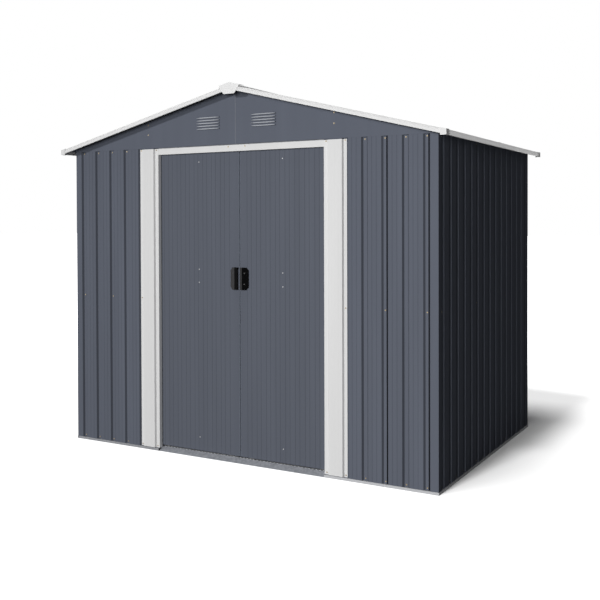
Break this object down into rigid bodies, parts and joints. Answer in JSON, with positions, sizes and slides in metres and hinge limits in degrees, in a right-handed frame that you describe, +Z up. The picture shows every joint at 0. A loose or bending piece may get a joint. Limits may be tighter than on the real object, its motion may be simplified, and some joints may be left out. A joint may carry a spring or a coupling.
{
  "type": "metal tool shed",
  "caption": "Walk-in ribbed steel tool shed with an apex roof, louvred gables and a pair of sliding doors behind a framed doorway.",
  "frame": {"origin": "on the ground, under the middle of the roof", "axes": "+X to the right along the front, +Y from the doors towards the back, +Z up"},
  "size_m": [2.2454, 1.6034, 1.8999],
  "materials": {
    "anthracite_sheet": "satin anthracite coil-coated steel",
    "white_trim": "satin white coil-coated steel",
    "white_moulding": "moulded white plastic",
    "galvanised_steel": "dull galvanised, faint spangle",
    "black_plastic": "fine-textured black moulding",
    "nylon": "plain black nylon"
  },
  "bodies": {
    "shell": {"back_base_rail": "galvanised_steel", "back_gable_left": "anthracite_sheet", "back_gable_right": "anthracite_sheet", "back_left_corner": "anthracite_sheet", "back_rake_trims": "white_trim", "back_right_corner": "anthracite_sheet", "back_top_rail": "galvanised_steel", "back_wall": "anthracite_sheet", "door_guide_rail": "galvanised_steel", "door_header": "white_trim", "door_ramp": "galvanised_steel", "door_track": "galvanised_steel", "eave_trim_sleeves": "white_trim", "eave_trims": "white_trim", "front_base_rails": "galvanised_steel", "front_gable_left": "anthracite_sheet", "front_gable_right": "anthracite_sheet", "front_left_corner": "anthracite_sheet", "front_left_wall": "anthracite_sheet", "front_rake_trims": "white_trim", "front_right_corner": "anthracite_sheet", "front_right_wall": "anthracite_sheet", "front_top_rail": "galvanised_steel", "left_door_jamb": "white_trim", "left_roof": "anthracite_sheet", "left_wall": "anthracite_sheet", "mid_rails": "galvanised_steel", "ridge_beam": "galvanised_steel", "ridge_cap": "white_trim", "ridge_end_caps": "white_moulding", "right_door_jamb": "white_trim", "right_roof": "anthracite_sheet", "right_wall": "anthracite_sheet", "roof_corner_caps": "white_moulding", "side_base_rails": "galvanised_steel", "side_roof_beams": "galvanised_steel", "side_top_rails": "galvanised_steel"},
    "left_door": {"left_door_braces": "galvanised_steel", "left_door_gliders": "nylon", "left_door_handle": "black_plastic", "left_door_sheet": "anthracite_sheet"},
    "right_door": {"right_door_braces": "galvanised_steel", "right_door_gliders": "nylon", "right_door_handle": "black_plastic", "right_door_sheet": "anthracite_sheet"}
  },
  "joints": [
    {"name": "left_door_slide", "type": "slide", "parent": "shell", "child": "left_door", "axis": [-1, 0, 0], "range_m": [0, 0.43]},
    {"name": "right_door_slide", "type": "slide", "parent": "shell", "child": "right_door", "axis": [1, 0, 0], "range_m": [0, 0.43]}
  ]
}
